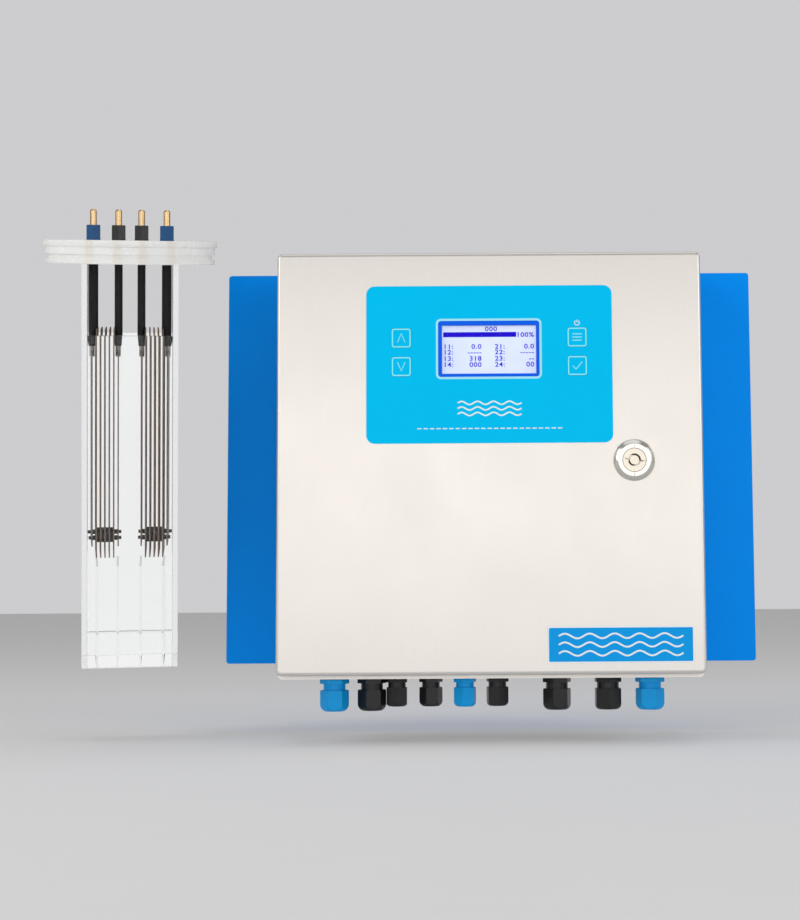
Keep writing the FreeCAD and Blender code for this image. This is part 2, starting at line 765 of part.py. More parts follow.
def lock_housing():
    """Round escutcheon and threaded body, bored for the barrel."""
    outline = [
        (LOCK_INSERT_R + 0.05, LOCK_FACE),
        (15.4, LOCK_FACE),
        (LOCK_R, LOCK_FACE + 2.8),
        (LOCK_R, DOOR_FRONT),
        (LOCK_BODY_R - 0.05, DOOR_FRONT),
        (LOCK_BODY_R - 0.05, CAM_Y[0] - 1.0),
        (LOCK_BARREL_R + 0.05, CAM_Y[0] - 1.0),
        (LOCK_BARREL_R + 0.05, DOOR_FRONT + 2.0),
        (LOCK_BARREL_R + 0.05, DOOR_FRONT - 0.4),
        (LOCK_INSERT_R + 0.05, DOOR_FRONT - 0.4),
    ]
    housing = lathe_y(0, 0, outline)
    marks = []
    for side in (-1, 1):
        z = side * 13.2
        marks.append(box((-0.35, 0.35), (LOCK_FACE - 1, LOCK_FACE + 0.3), (z - 1.4, z + 1.4)))
    return at_lock(cut_all(housing, marks))


def lock_nut():
    y = (DOOR_INNER, DOOR_INNER + 5.0)
    nut = hexagon_y(0, 0, y, 30.0)
    return at_lock(nut.cut(rod_y(0, 0, (y[0] - 1, y[1] + 1), LOCK_BODY_R)))


KEY_TILT = 8.0


def lock_barrel():
    """Turning insert with the round key socket and its centre pin."""
    head = rod_y(0, 0, (BARREL_FACE, DOOR_FRONT - 0.45), LOCK_INSERT_R)
    stem = rod_y(0, 0, (BARREL_FACE, CAM_Y[0]), LOCK_BARREL_R)
    square = box((-4.0, 4.0), (CAM_Y[0], CAM_Y[1]), (-4.0, 4.0))
    tail = rod_y(0, 0, (CAM_Y[1] - 0.5, CAM_Y[1]), 4.0)
    barrel = head.fuse(stem).fuse(square).fuse(tail).removeSplitter()
    depth = (BARREL_FACE - 1, BARREL_FACE + 9.0)
    pin = rod_y(0, 0, (depth[0] - 1, depth[1] + 1), 4.3)
    socket = rod_y(0, 0, depth, 6.0).cut(pin)
    bits = box((-8.2, 8.2), depth, (-0.8, 0.8))
    bits = bits.fuse(box((-10.2, 10.2), (depth[0], BARREL_FACE + 2.2), (-0.8, 0.8))).cut(pin)
    bits.rotate(Vec(0, 0, 0), Y_AXIS, KEY_TILT)
    return at_lock(barrel.cut(socket).cut(bits))


def lock_cam():
    """Flat latch tongue on the barrel's square, pointing down when unlatched."""
    tongue = rounded_slab((-9.0, 9.0), CAM_Y, (-CAM_REACH, 10.0), 8.0)
    return at_lock(tongue.cut(box((-4.0, 4.0), (CAM_Y[0] - 1, CAM_Y[1] + 1), (-4.0, 4.0))))


def cam_screw():
    face = CAM_Y[1]
    outline = [
        (0, face),
        (7.5, face),
        (7.5, face + 1.2),
        (4.5, face + 1.2),
        (4.5, face + 4.4),
        (0, face + 4.4),
    ]
    return at_lock(lathe_y(0, 0, outline))


# ---------------------------------------------------------------- electrolysis cell

def cell_flange():
    """Thick clear disc with a lip, and an empty groove for its seal."""
    outline = [
        (0, 0),
        (FLANGE_R - 1, 0),
        (FLANGE_R, -1),
        (FLANGE_R, -FLANGE_LIP_T),
        (FLANGE_LOWER_R, -FLANGE_LIP_T),
        (FLANGE_LOWER_R, -GROOVE_TOP),
        (FLANGE_LOWER_R - GROOVE_DEPTH, -GROOVE_TOP),
        (FLANGE_LOWER_R - GROOVE_DEPTH, -GROOVE_TOP - GROOVE_H),
        (FLANGE_LOWER_R, -GROOVE_TOP - GROOVE_H),
        (FLANGE_LOWER_R, -FLANGE_T),
        (0, -FLANGE_T),
    ]
    disc = lathe_z(0, 0, outline)
    holes = [rod_z(x, 0, (-FLANGE_T - 1, 1), SHANK_R + 0.05) for x in TERMINAL_X]
    return cut_all(disc, holes)


def cell_side_walls():
    half_w = CELL_BODY_W / 2
    y = (-CELL_BODY_D / 2, CELL_BODY_D / 2)
    z = (CELL_BOTTOM, -FLANGE_T)
    return [box((-half_w, CELL_WALL - half_w), y, z), box((half_w - CELL_WALL, half_w), y, z)]


def cell_face_walls():
    """Front and back walls, which end below the open water windows."""
    half_w = CELL_BODY_W / 2 - CELL_WALL
    half_d = CELL_BODY_D / 2
    x = (-half_w, half_w)
    z = (CELL_BOTTOM, WINDOW_SILL)
    return [box(x, (-half_d, CELL_WALL - half_d), z), box(x, (half_d - CELL_WALL, half_d), z)]


def cell_divider():
    """Upright ribs under the plate packs, strung on a cross bar."""
    half_d = CELL_BODY_D / 2 - CELL_WALL
    half_w = CELL_BODY_W / 2 - CELL_WALL
    bar = rod_x((-half_w, half_w), 0, BAR_Z, BAR_R)
    ribs = []
    for x in RIB_X:
        rib = box((x - RIB_T / 2, x + RIB_T / 2), (-half_d, half_d), (CELL_BOTTOM, RIB_TOP))
        ribs.append(rib.cut(bar))
    return ribs + [bar]


def terminal_pins():
    """Shanks through the flange and collars, with slimmer chamfered ends above them."""
    pins = []
    for x in TERMINAL_X:
        outline = [
            (0, -FLANGE_T),
            (SHANK_R, -FLANGE_T),
            (SHANK_R, COLLAR_H),
            (PIN_R, COLLAR_H),
            (PIN_R, PIN_H - 1.5),
            (PIN_R - 1.2, PIN_H),
            (0, PIN_H),
        ]
        pins.append(lathe_z(x, 0, outline))
    return pins


def terminal_collars(places):
    """Hexagon nuts that clamp the pins to the flange."""
    collars = []
    for x in places:
        outline = [(0, 0), (7.5, 0), (7.5, COLLAR_H - 1.5), (6.0, COLLAR_H), (0, COLLAR_H)]
        nut = hexagon_z(x, 0, (-1, COLLAR_H + 1), 12.9, 30.0).common(lathe_z(x, 0, outline))
        collar = nut.fuse(rod_z(x, 0, (0, 1.5), 6.7)).removeSplitter()
        collars.append(collar.cut(rod_z(x, 0, (-1, COLLAR_H + 1), SHANK_R + 0.03)))
    return collars


def sleeve_radius(x):
    if abs(x) > 20:
        return OUTER_SLEEVE_R
    return INNER_SLEEVE_R


def electrode_stems():
    """Titanium rods from the flange down to the terminal plates, slotted over the plates' tops."""
    plates = terminal_plates()
    return [cut_all(rod_z(x, 0, (STEM_BOTTOM, -FLANGE_T), STEM_R), plates) for x in TERMINAL_X]


def stem_sleeves():
    """Black insulating sleeves over the stems, tapered at their lower ends."""
    sleeves = []
    for x in TERMINAL_X:
        radius = sleeve_radius(x)
        outline = [
            (STEM_R + 0.02, -FLANGE_T),
            (radius, -FLANGE_T),
            (radius, SLEEVE_BOTTOM + 9.0),
            (STEM_R + 0.7, SLEEVE_BOTTOM),
            (STEM_R + 0.02, SLEEVE_BOTTOM),
        ]
        sleeves.append(lathe_z(x, 0, outline))
    return sleeves


def plate_offsets(pack):
    """X places of one pack's plates, from left to right."""
    first = PACK_X[pack] - PLATE_PITCH * (PLATES_IN_PACK - 1) / 2
    return [first + PLATE_PITCH * step for step in range(PLATES_IN_PACK)]


def electrode(x, z):
    """One upright plate with holes for the spacer rods."""
    half = PLATE_DEPTH / 2
    plate = box((x - PLATE_T / 2, x + PLATE_T / 2), (-half, half), z)
    return cut_all(plate, [rod_x((x - 5, x + 5), y, SPACER_Z, SPACER_ROD_R + 0.05) for y in (-ROD_Y, ROD_Y)])


def terminal_plates():
    """Outer plates of each pack, which the stems feed."""
    plates = []
    for pack in (0, 1):
        places = plate_offsets(pack)
        plates.append(electrode(places[0], TERMINAL_PLATE_Z))
        plates.append(electrode(places[-1], TERMINAL_PLATE_Z))
    return plates


def bipolar_plates():
    """Inner plates of each pack, with room for the stems' sleeves at their tops."""
    room_z = (SLEEVE_BOTTOM - 2.0, BIPOLAR_PLATE_Z[1] + 1.0)
    room = [rod_z(x, 0, room_z, sleeve_radius(x) + 0.5) for x in TERMINAL_X]
    plates = []
    for pack in (0, 1):
        for x in plate_offsets(pack)[1:-1]:
            plates.append(cut_all(electrode(x, BIPOLAR_PLATE_Z), room))
    return plates


def plate_spacers():
    """Plastic rods through each pack, with a washer between neighbouring plates."""
    pieces = []
    gap = (PLATE_PITCH - PLATE_T) / 2
    for pack in (0, 1):
        places = plate_offsets(pack)
        for y in (-ROD_Y, ROD_Y):
            pieces.append(rod_x((places[0] - 3.0, places[-1] + 3.0), y, SPACER_Z, SPACER_ROD_R))
            for x in places[:-1]:
                middle = x + PLATE_PITCH / 2
                radius = OUTER_SPACER_R if x in (places[0], places[-2]) else INNER_SPACER_R
                ring = rod_x((middle - gap, middle + gap), y, SPACER_Z, radius)
                hole = rod_x((middle - 5, middle + 5), y, SPACER_Z, SPACER_ROD_R + 0.02)
                pieces.append(ring.cut(hole))
    return pieces


def placed_in_cell(solids):
    """A cell piece moved from the cell's own frame to its place beside the cabinet."""
    pieces = solids if isinstance(solids, list) else [solids]
    rotation = FreeCAD.Rotation(Z_AXIS, CELL_TURN)
    rotation = rotation.multiply(FreeCAD.Rotation(X_AXIS, CELL_LEAN))
    rotation = rotation.multiply(FreeCAD.Rotation(Y_AXIS, CELL_TIP))
    placement = FreeCAD.Placement(CELL_PLACE, rotation)
    for shape in pieces:
        shape.Placement = placement.multiply(shape.Placement)
    return pieces


# ---------------------------------------------------------------- all nodes

def cabinet_nodes():
    nodes = {
        "backing_plate": backing_plate(),
        "cabinet_shell": cabinet_shell(),
        "mounting_plate": mounting_plate(),
        "plate_fixings": plate_fixings(),
        "hinge_brackets": hinge_brackets(),
        "earth_terminal": earth_terminal(),
        "gland_locknuts": gland_set(gland_locknut),
        "gland_seals": gland_seals(),
    }
    for colour in ("black", "blue"):
        nodes["gland_bodies_" + colour] = gland_set(gland_body, colour)
        nodes["gland_nuts_" + colour] = gland_set(gland_nut, colour)
    return nodes


def electronics_nodes():
    return {
        "transformer": transformer(),
        "transformer_pads": transformer_pads(),
        "transformer_fixings": transformer_fixings(),
        "power_board": power_board(),
        "board_fixings": board_fixings(),
        "heat_sink": heat_sink(),
        "rectifiers": rectifiers(),
        "relays": relays(),
        "capacitors": capacitors(),
        "chokes": chokes(),
        "board_terminals": board_terminals(),
        "din_rail": din_rail(),
        "terminal_blocks": terminal_blocks(),
        "circuit_breaker": circuit_breaker(),
        "breaker_lever": breaker_lever(),
    }


def door_nodes():
    nodes = {
        "door_panel": door_panel(),
        "door_gasket": door_gasket(),
        "hinge_ears": hinge_ears(),
        "hinge_pins": hinge_pins(),
        "keypad_overlay": keypad_overlay(),
        "lcd_window": lcd_window(),
        "lcd_module": lcd_module(),
        "display_board": display_board(),
        "display_posts": display_posts(),
        "display_components": display_components(),
        "rating_plate": rating_plate(),
        "lock_housing": lock_housing(),
        "lock_nut": lock_nut(),
        "lock_barrel": lock_barrel(),
        "lock_cam": lock_cam(),
        "cam_screw": cam_screw(),
    }
    names = ("key_down", "key_up", "key_ok", "key_menu")
    for name, place in zip(names, sorted(key_places())):
        nodes[name] = key(*place)
    return nodes


def cell_nodes():
    nodes = {
        "cell_flange": cell_flange(),
        "cell_side_walls": cell_side_walls(),
        "cell_face_walls": cell_face_walls(),
        "cell_divider": cell_divider(),
        "terminal_pins": terminal_pins(),
        "terminal_collars_blue": terminal_collars((TERMINAL_X[0], TERMINAL_X[3])),
        "terminal_collars_black": terminal_collars((TERMINAL_X[1], TERMINAL_X[2])),
        "electrode_stems": electrode_stems(),
        "stem_sleeves": stem_sleeves(),
        "terminal_plates": terminal_plates(),
        "bipolar_plates": bipolar_plates(),
        "plate_spacers": plate_spacers(),
    }
    return {node: placed_in_cell(solids) for node, solids in nodes.items()}


def main():
    os.makedirs("parts", exist_ok=True)
    for group in (cabinet_nodes(), electronics_nodes(), door_nodes(), cell_nodes()):
        for node, solids in group.items():
            save(node, solids)


main()
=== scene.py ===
"""Looks for the salt chlorine generator: materials, printed graphics, clear cell, studio and camera."""

import json
import math

import bmesh
import bpy
from mathutils import Matrix, Vector


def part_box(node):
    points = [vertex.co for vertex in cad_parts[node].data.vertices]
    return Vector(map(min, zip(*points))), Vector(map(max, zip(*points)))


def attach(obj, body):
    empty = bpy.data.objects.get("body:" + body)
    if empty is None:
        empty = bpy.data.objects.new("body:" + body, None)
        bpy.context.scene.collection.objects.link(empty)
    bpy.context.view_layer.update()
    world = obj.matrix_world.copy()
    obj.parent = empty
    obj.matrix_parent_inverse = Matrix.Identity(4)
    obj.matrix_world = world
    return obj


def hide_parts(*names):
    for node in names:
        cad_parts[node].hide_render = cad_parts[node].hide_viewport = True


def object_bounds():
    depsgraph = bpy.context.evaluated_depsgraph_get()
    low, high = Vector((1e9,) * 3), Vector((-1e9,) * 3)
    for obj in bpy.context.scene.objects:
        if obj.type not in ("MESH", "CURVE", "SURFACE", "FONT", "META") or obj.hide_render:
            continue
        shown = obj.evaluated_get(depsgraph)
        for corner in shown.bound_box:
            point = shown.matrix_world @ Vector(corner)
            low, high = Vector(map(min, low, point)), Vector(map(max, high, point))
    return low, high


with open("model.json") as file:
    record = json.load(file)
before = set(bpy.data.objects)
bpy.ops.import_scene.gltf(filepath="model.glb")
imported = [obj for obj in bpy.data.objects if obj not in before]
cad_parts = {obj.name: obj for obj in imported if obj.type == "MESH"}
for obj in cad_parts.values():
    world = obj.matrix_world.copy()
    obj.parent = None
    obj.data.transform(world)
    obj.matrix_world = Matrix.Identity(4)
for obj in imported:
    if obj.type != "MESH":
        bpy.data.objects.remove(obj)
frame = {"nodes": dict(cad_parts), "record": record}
cad_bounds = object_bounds()
nodes = frame["nodes"]

MM = 0.001
TAU = 2 * math.pi


# ---------------------------------------------------------------- shaders

def new_shader(name):
    """A material with an empty tree but for its Principled shader and output."""
    made = bpy.data.materials.new(name)
    made.use_nodes = True
    return made, made.node_tree


def set_inputs(node, values):
    for key, value in values.items():
        node.inputs[key].default_value = value


def add(tree, kind, inputs=None, **settings):
    """A new node with its settings and its input values or links."""
    node = tree.nodes.new(kind)
    for key, value in settings.items():
        setattr(node, key, value)
    for key, value in (inputs or {}).items():
        if isinstance(value, bpy.types.NodeSocket):
            tree.links.new(value, node.inputs[key])
        else:
            node.inputs[key].default_value = value
    return node


def rgba(colour):
    return (colour[0], colour[1], colour[2], 1.0)


def scaled(colour, factor):
    return rgba([min(1.0, part * factor) for part in colour])


def object_place(tree, stretch=(1.0, 1.0, 1.0)):
    """Coordinates in metres in the frame, stretched along each axis."""
    source = add(tree, "ShaderNodeTexCoord").outputs["Object"]
    return add(tree, "ShaderNodeMapping", {"Vector": source, "Scale": stretch}).outputs["Vector"]


def noise(tree, place, scale, detail=3.0, rough=0.55):
    made = add(tree, "ShaderNodeTexNoise", {"Vector": place, "Scale": scale, "Detail": detail, "Roughness": rough})
    return made.outputs["Fac"]


def spread(tree, value, low, high):
    """A 0 to 1 value mapped to a range, from the middle part of a noise."""
    inputs = {"Value": value, "From Min": 0.3, "From Max": 0.7, "To Min": low, "To Max": high}
    return add(tree, "ShaderNodeMapRange", inputs, clamp=True).outputs["Result"]


def blend_colours(tree, factor, first, second):
    made = add(tree, "ShaderNodeMix", {0: factor, 6: first, 7: second}, data_type="RGBA")
    return made.outputs[2]


def relief(tree, height, strength, distance):
    inputs = {"Height": height, "Strength": strength, "Distance": distance}
    return add(tree, "ShaderNodeBump", inputs).outputs["Normal"]


def surface(name, colour, rough, metal=0.0, grain=900.0, stretch=(1.0, 1.0, 1.0), tone=0.08,
            rough_change=0.08, bump=0.15, depth=0.00005, **inputs):
    """A solid material: fine grain in its relief and roughness, slow clouds in its colour."""
    made, tree = new_shader(name)
    shader = tree.nodes["Principled BSDF"]
    fine = noise(tree, object_place(tree, stretch), grain)
    slow = noise(tree, object_place(tree), 14.0, 4.0)
    mixed = add(tree, "ShaderNodeMath", {0: fine, 1: slow}, operation="ADD").outputs[0]
    half = add(tree, "ShaderNodeMath", {0: mixed, 1: 0.5}, operation="MULTIPLY").outputs[0]
    shade = blend_colours(tree, spread(tree, half, 0.0, 1.0), scaled(colour, 1 - tone), scaled(colour, 1 + tone))
    tree.links.new(shade, shader.inputs["Base Color"])
    tree.links.new(spread(tree, half, rough - rough_change, rough + rough_change), shader.inputs["Roughness"])
    tree.links.new(relief(tree, fine, bump, depth), shader.inputs["Normal"])
    shader.inputs["Metallic"].default_value = metal
    set_inputs(shader, inputs)
    return made


def clear(name, colour, rough, index, haze, painted_glow=0.0):
    """A see-through plastic with a faint milky share, and a painted glow: emission in its own colour that brightens
    it as if more light fell on it.
    """
    made, tree = new_shader(name)
    shader = tree.nodes["Principled BSDF"]
    slow = noise(tree, object_place(tree), 30.0)
    tree.links.new(spread(tree, slow, rough * 0.6, rough * 1.4), shader.inputs["Roughness"])
    set_inputs(shader, {"Base Color": rgba(colour), "IOR": index, "Transmission Weight": 1.0 - haze})
    # Painted light: the emission makes the plastic glow though it is no lamp.
    set_inputs(shader, {"Emission Color": rgba(colour), "Emission Strength": painted_glow})
    return made


def circuit_board():
    """Green solder resist with copper tracks just visible under it and pale pads."""
    made, tree = new_shader("circuit_board")
    shader = tree.nodes["Principled BSDF"]
    place = object_place(tree)
    tracks = add(tree, "ShaderNodeTexBrick", {
        "Vector": add(tree, "ShaderNodeMapping", {"Vector": place, "Rotation": (math.pi / 2, 0, 0)}).outputs[0],
        "Color1": rgba((0.012, 0.13, 0.05)), "Color2": rgba((0.016, 0.17, 0.065)),
        "Mortar": rgba((0.03, 0.27, 0.11)), "Scale": 60.0, "Mortar Size": 0.025})
    dots = add(tree, "ShaderNodeTexVoronoi", {"Vector": place, "Scale": 260.0})
    pads = add(tree, "ShaderNodeMath", {0: dots.outputs["Distance"], 1: 0.14}, operation="LESS_THAN").outputs[0]
    colour = blend_colours(tree, pads, tracks.outputs["Color"], rgba((0.62, 0.60, 0.52)))
    tree.links.new(colour, shader.inputs["Base Color"])
    tree.links.new(relief(tree, tracks.outputs["Fac"], 0.2, 0.00005), shader.inputs["Normal"])
    set_inputs(shader, {"Roughness": 0.32, "Coat Weight": 0.4})
    return made


def wound(name, dark, light, turns, axis_scale):
    """Tape or wire laid side by side, as fine ridges."""
    made, tree = new_shader(name)
    shader = tree.nodes["Principled BSDF"]
    place = object_place(tree, axis_scale)
    ridges = add(tree, "ShaderNodeTexWave", {"Vector": place, "Scale": turns, "Distortion": 1.2, "Detail": 1.0},
                 wave_type="BANDS", bands_direction="DIAGONAL").outputs["Fac"]
    tree.links.new(blend_colours(tree, ridges, rgba(dark), rgba(light)), shader.inputs["Base Color"])
    tree.links.new(relief(tree, ridges, 0.6, 0.0003), shader.inputs["Normal"])
    set_inputs(shader, {"Roughness": 0.42, "Coat Weight": 0.3})
    return made


def lit_display():
    """Pale lilac backlight with a fine dot grid."""
    made, tree = new_shader("lit_display")
    shader = tree.nodes["Principled BSDF"]
    place = object_place(tree)
    cells = add(tree, "ShaderNodeTexVoronoi", {"Vector": place, "Scale": 1400.0, "Randomness": 0.0},
                distance="CHEBYCHEV")
    slow = noise(tree, place, 22.0)
    base = blend_colours(tree, spread(tree, slow, 0.0, 1.0), rgba((0.54, 0.60, 0.86)), rgba((0.62, 0.68, 0.92)))
    grid = spread(tree, cells.outputs["Distance"], 0.0, 0.12)
    colour = blend_colours(tree, grid, base, rgba((0.46, 0.50, 0.82)))
    tree.links.new(colour, shader.inputs["Base Color"])
    tree.links.new(colour, shader.inputs["Emission Color"])
    set_inputs(shader, {"Roughness": 0.5, "Emission Strength": 0.25})
    return made


BRUSH = (14.0, 14.0, 0.35)
LOOK = {
    "stainless": surface("stainless", (0.735, 0.708, 0.675), 0.38, 0.85, 90.0, BRUSH, 0.03, 0.05, 0.05, 0.00003),
    "blue_paint": surface("blue_paint", (0.0, 0.29, 1.0), 0.34, 0.0, 2600.0, tone=0.03, rough_change=0.04,
                          bump=0.08, **{"Specular IOR Level": 0.04}),
    "galvanised_steel": surface("galvanised_steel", (0.60, 0.62, 0.64), 0.42, 1.0, 240.0, tone=0.16,
                                rough_change=0.14, bump=0.04),
    "zinc_steel": surface("zinc_steel", (0.68, 0.69, 0.70), 0.30, 1.0, 700.0, tone=0.06),
    "brass": surface("brass", (0.78, 0.56, 0.22), 0.28, 1.0, 800.0, tone=0.08),
    "black_nylon": surface("black_nylon", (0.012, 0.012, 0.013), 0.26, 0.0, 2400.0, tone=0.25, bump=0.1,
                           **{"Specular IOR Level": 0.35}),
    "black_rubber": surface("black_rubber", (0.018, 0.018, 0.018), 0.66, 0.0, 1500.0, tone=0.3, bump=0.25),
    "blue_nylon": surface("blue_nylon", (0.0, 0.34, 0.80), 0.38, 0.0, 2400.0, tone=0.06, bump=0.2,
                          **{"Specular IOR Level": 0.2}),
    "winding_tape": wound("winding_tape", (0.42, 0.27, 0.05), (0.78, 0.56, 0.14), 55.0, (1, 1, 1)),
    "circuit_board": circuit_board(),
    "aluminium_fin": surface("aluminium_fin", (0.72, 0.73, 0.75), 0.36, 1.0, 120.0, (8, 8, 0.5), 0.06),
    "component_black": surface("component_black", (0.022, 0.022, 0.024), 0.45, 0.0, 3000.0, tone=0.3, bump=0.3),
    "relay_case": surface("relay_case", (0.03, 0.10, 0.42), 0.26, 0.0, 1800.0),
    "capacitor_sleeve": surface("capacitor_sleeve", (0.012, 0.016, 0.05), 0.24, 0.0, 900.0),
    "choke_core": wound("choke_core", (0.30, 0.10, 0.03), (0.80, 0.34, 0.12), 160.0, (1, 1, 1)),
    "terminal_green": surface("terminal_green", (0.02, 0.36, 0.13), 0.34, 0.0, 1800.0),
    "terminal_grey": surface("terminal_grey", (0.46, 0.47, 0.47), 0.44, 0.0, 1800.0),
    "breaker_case": surface("breaker_case", (0.80, 0.80, 0.77), 0.40, 0.0, 1800.0, tone=0.03),
    "cyan_overlay": surface("cyan_overlay", (0.0, 0.56, 0.96), 0.40, 0.0, 4200.0, tone=0.015, rough_change=0.03,
                            bump=0.12, depth=0.00002, **{"Specular IOR Level": 0.03}),
    "lcd_clear": clear("lcd_clear", (0.98, 0.99, 1.0), 0.0, 1.03, 0.0),
    "lcd_case": lit_display(),
    "blue_label": surface("blue_label", (0.0, 0.34, 0.84), 0.36, 0.0, 4200.0, tone=0.04, bump=0.1, depth=0.00002,
                          **{"Specular IOR Level": 0.1}),
    "cast_zinc": surface("cast_zinc", (0.66, 0.635, 0.59), 0.24, 1.0, 1200.0, tone=0.06, bump=0.06),
    "clear_acrylic": clear("clear_acrylic", (0.985, 0.99, 0.99), 0.02, 1.16, 0.02, 0.0),
    "edge_acrylic": clear("edge_acrylic", (0.90, 0.905, 0.91), 0.02, 1.16, 0.04),
    # The frosted flange's last value is a painted glow: emission that brightens it as if lit.
    "frosted_flange": clear("frosted_flange", (0.88, 0.885, 0.875), 0.25, 1.12, 0.72, 0.06),
    "gold_brass": surface("gold_brass", (0.66, 0.47, 0.25), 0.24, 1.0, 1000.0, tone=0.04, bump=0.02),
    "titanium": surface("titanium", (0.14, 0.105, 0.08), 0.46, 0.5, 300.0, (6, 6, 0.5), 0.1),
    "coated_titanium": surface("coated_titanium", (0.17, 0.115, 0.08), 0.55, 0.25, 1500.0, tone=0.16, bump=0.3),
}
PALE_INK = surface("pale_ink", (0.36, 0.82, 1.0), 0.45, 0.0, 3000.0, tone=0.02)
KEY_INK = surface("key_ink", (0.28, 0.88, 1.0), 0.45, 0.0, 3000.0, tone=0.02,
                  **{"Specular IOR Level": 0.1})
WHITE_INK = surface("white_ink", (0.86, 0.93, 0.95), 0.45, 0.0, 3000.0, tone=0.02)
DEEP_BLUE_INK = surface("deep_blue_ink", (0.0, 0.12, 0.88), 0.4, 0.0, 3000.0, tone=0.05,
                        **{"Specular IOR Level": 0.1})
DISPLAY_INK = surface("display_ink", (0.012, 0.0, 0.62), 0.5, 0.0, 3000.0, tone=0.05,
                      **{"Specular IOR Level": 0.1})


OWN_LOOK = {
    "terminal_collars_blue": surface("collar_blue", (0.0, 0.068, 0.21), 0.34, 0.0, 2400.0, tone=0.08, bump=0.2,
                                     **{"Specular IOR Level": 0.3}),
    "lock_barrel": surface("lock_insert", (0.56, 0.52, 0.45), 0.26, 1.0, 1200.0, tone=0.05, bump=0.05),
    "electrode_stems": surface("stem_titanium", (0.50, 0.46, 0.42), 0.46, 0.3, 300.0, tone=0.06, bump=0.05),
    "plate_spacers": surface("spacer_black", (0.022, 0.020, 0.018), 0.5, 0.0, 2400.0, tone=0.2, bump=0.2,
                             **{"Specular IOR Level": 0.2}),
    "stem_sleeves": surface("sleeve_black", (0.011, 0.011, 0.011), 0.5, 0.0, 2400.0, tone=0.2, bump=0.15,
                            **{"Specular IOR Level": 0.2}),
}


def dress_cad_nodes():
    """Every CAD node gets the look of its material slot."""
    for part in frame["record"]["subparts"]:
        mesh = nodes[part["node"]].data
        look = OWN_LOOK.get(part["node"], LOOK[part["material_slot"]])
        if not mesh.materials:
            mesh.materials.append(look)
        for index in range(len(mesh.materials)):
            mesh.materials[index] = look


# ---------------------------------------------------------------- meshes

def piece(name, mesh, look, body):
    """A new object in the scene that rides on a body."""
    made = bpy.data.objects.new(name, mesh)
    bpy.context.scene.collection.objects.link(made)
    made.data.materials.clear()
    made.data.materials.append(look)
    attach(made, body)
    return made


def mesh_from(build, name, smooth=30.0):
    """The mesh that a bmesh builder fills, with smooth shading below the given angle."""
    bm = bmesh.new()
    build(bm)
    bmesh.ops.recalc_face_normals(bm, faces=bm.faces)
    mesh = bpy.data.meshes.new(name)
    bm.to_mesh(mesh)
    bm.free()
    mesh.shade_smooth()
    mesh.set_sharp_from_angle(angle=math.radians(smooth))
    return mesh


def round_rectangle(x, z, radius, steps=8):
    """Points of a rectangle with round corners, as (x, z)."""
    corners = ((x[1], z[1], 0), (x[0], z[1], 1), (x[0], z[0], 2), (x[1], z[0], 3))
    points = []
    for cx, cz, quarter in corners:
        mx = cx - math.copysign(radius, cx - (x[0] + x[1]) / 2)
        mz = cz - math.copysign(radius, cz - (z[0] + z[1]) / 2)
        for step in range(steps + 1):
            angle = TAU / 4 * (quarter + step / steps)
            points.append((mx + radius * math.cos(angle), mz + radius * math.sin(angle)))
    return points


def grow(span, amount):
    return (span[0] - amount, span[1] + amount)


def flat_ring(bm, outer, inner, front, back):
    """A closed frame between two outlines of equally many points."""
    loops = []
    for outline, y in ((outer, front), (inner, front), (inner, back), (outer, back)):
        loops.append([bm.verts.new((px, y, pz)) for px, pz in outline])
    count = len(outer)
    for first, second in zip(loops, loops[1:] + loops[:1]):
        for step in range(count):
            after = (step + 1) % count
            bm.faces.new((first[step], first[after], second[after], second[step]))


def flat_sheet(bm, outline, front, back, edge):
    """A closed sheet whose front edge is chamfered by the given amount."""
    middle_x = sum(px for px, pz in outline) / len(outline)
    middle_z = sum(pz for px, pz in outline) / len(outline)
    reach_x = max(abs(px - middle_x) for px, pz in outline)
    reach_z = max(abs(pz - middle_z) for px, pz in outline)
    tight_x = 1 - edge / reach_x
    tight_z = 1 - edge / reach_z
    front_points = []
    for px, pz in outline:
        front_points.append((middle_x + (px - middle_x) * tight_x, middle_z + (pz - middle_z) * tight_z))
    loops = []
    for points, y in ((front_points, front), (outline, front + edge), (outline, back)):
        loops.append([bm.verts.new((px, y, pz)) for px, pz in points])
    count = len(outline)
    for first, second in zip(loops, loops[1:]):
        for step in range(count):
            after = (step + 1) % count
            bm.faces.new((first[step], first[after], second[after], second[step]))
    bm.faces.new(loops[0])
    bm.faces.new(list(reversed(loops[-1])))


def polyline_mesh(name, points, width, y, closed=False, flatten=0.12):
    """A flat printed stroke with round ends along (x, z) points."""
    curve = bpy.data.curves.new(name, "CURVE")
    curve.dimensions = "3D"
    curve.bevel_depth = width / 2
    curve.bevel_resolution = 2
    curve.use_fill_caps = True
    spline = curve.splines.new("POLY")
    spline.points.add(len(points) - 1)
    for target, (px, pz) in zip(spline.points, points):
        target.co = (px, 0.0, pz, 1.0)
    spline.use_cyclic_u = closed
    return flat_mesh_of(curve, name, Matrix.Diagonal((1.0, flatten, 1.0, 1.0)), y)


DIGIT_SIZE = 1.38
DIGIT_WEIGHT = 0.022
DIGIT_SPACING = 1.12
DIGIT_WIDENING = 1.14
DIGIT_T = 0.00004


def digits_mesh(name, text, place, height, y, align="LEFT"):
    """Numerals standing on a point of the door's plane."""
    curve = bpy.data.curves.new(name, "FONT")
    curve.body = text
    curve.size = height * DIGIT_SIZE
    curve.align_x = align
    curve.offset = height * DIGIT_WEIGHT
    curve.space_character = DIGIT_SPACING
    curve.extrude = DIGIT_T
    upright = Matrix.Rotation(math.pi / 2, 4, "X") @ Matrix.Diagonal((DIGIT_WIDENING, 1.0, 1.0, 1.0))
    return flat_mesh_of(curve, name, Matrix.Translation((place[0], 0.0, place[1])) @ upright, y)


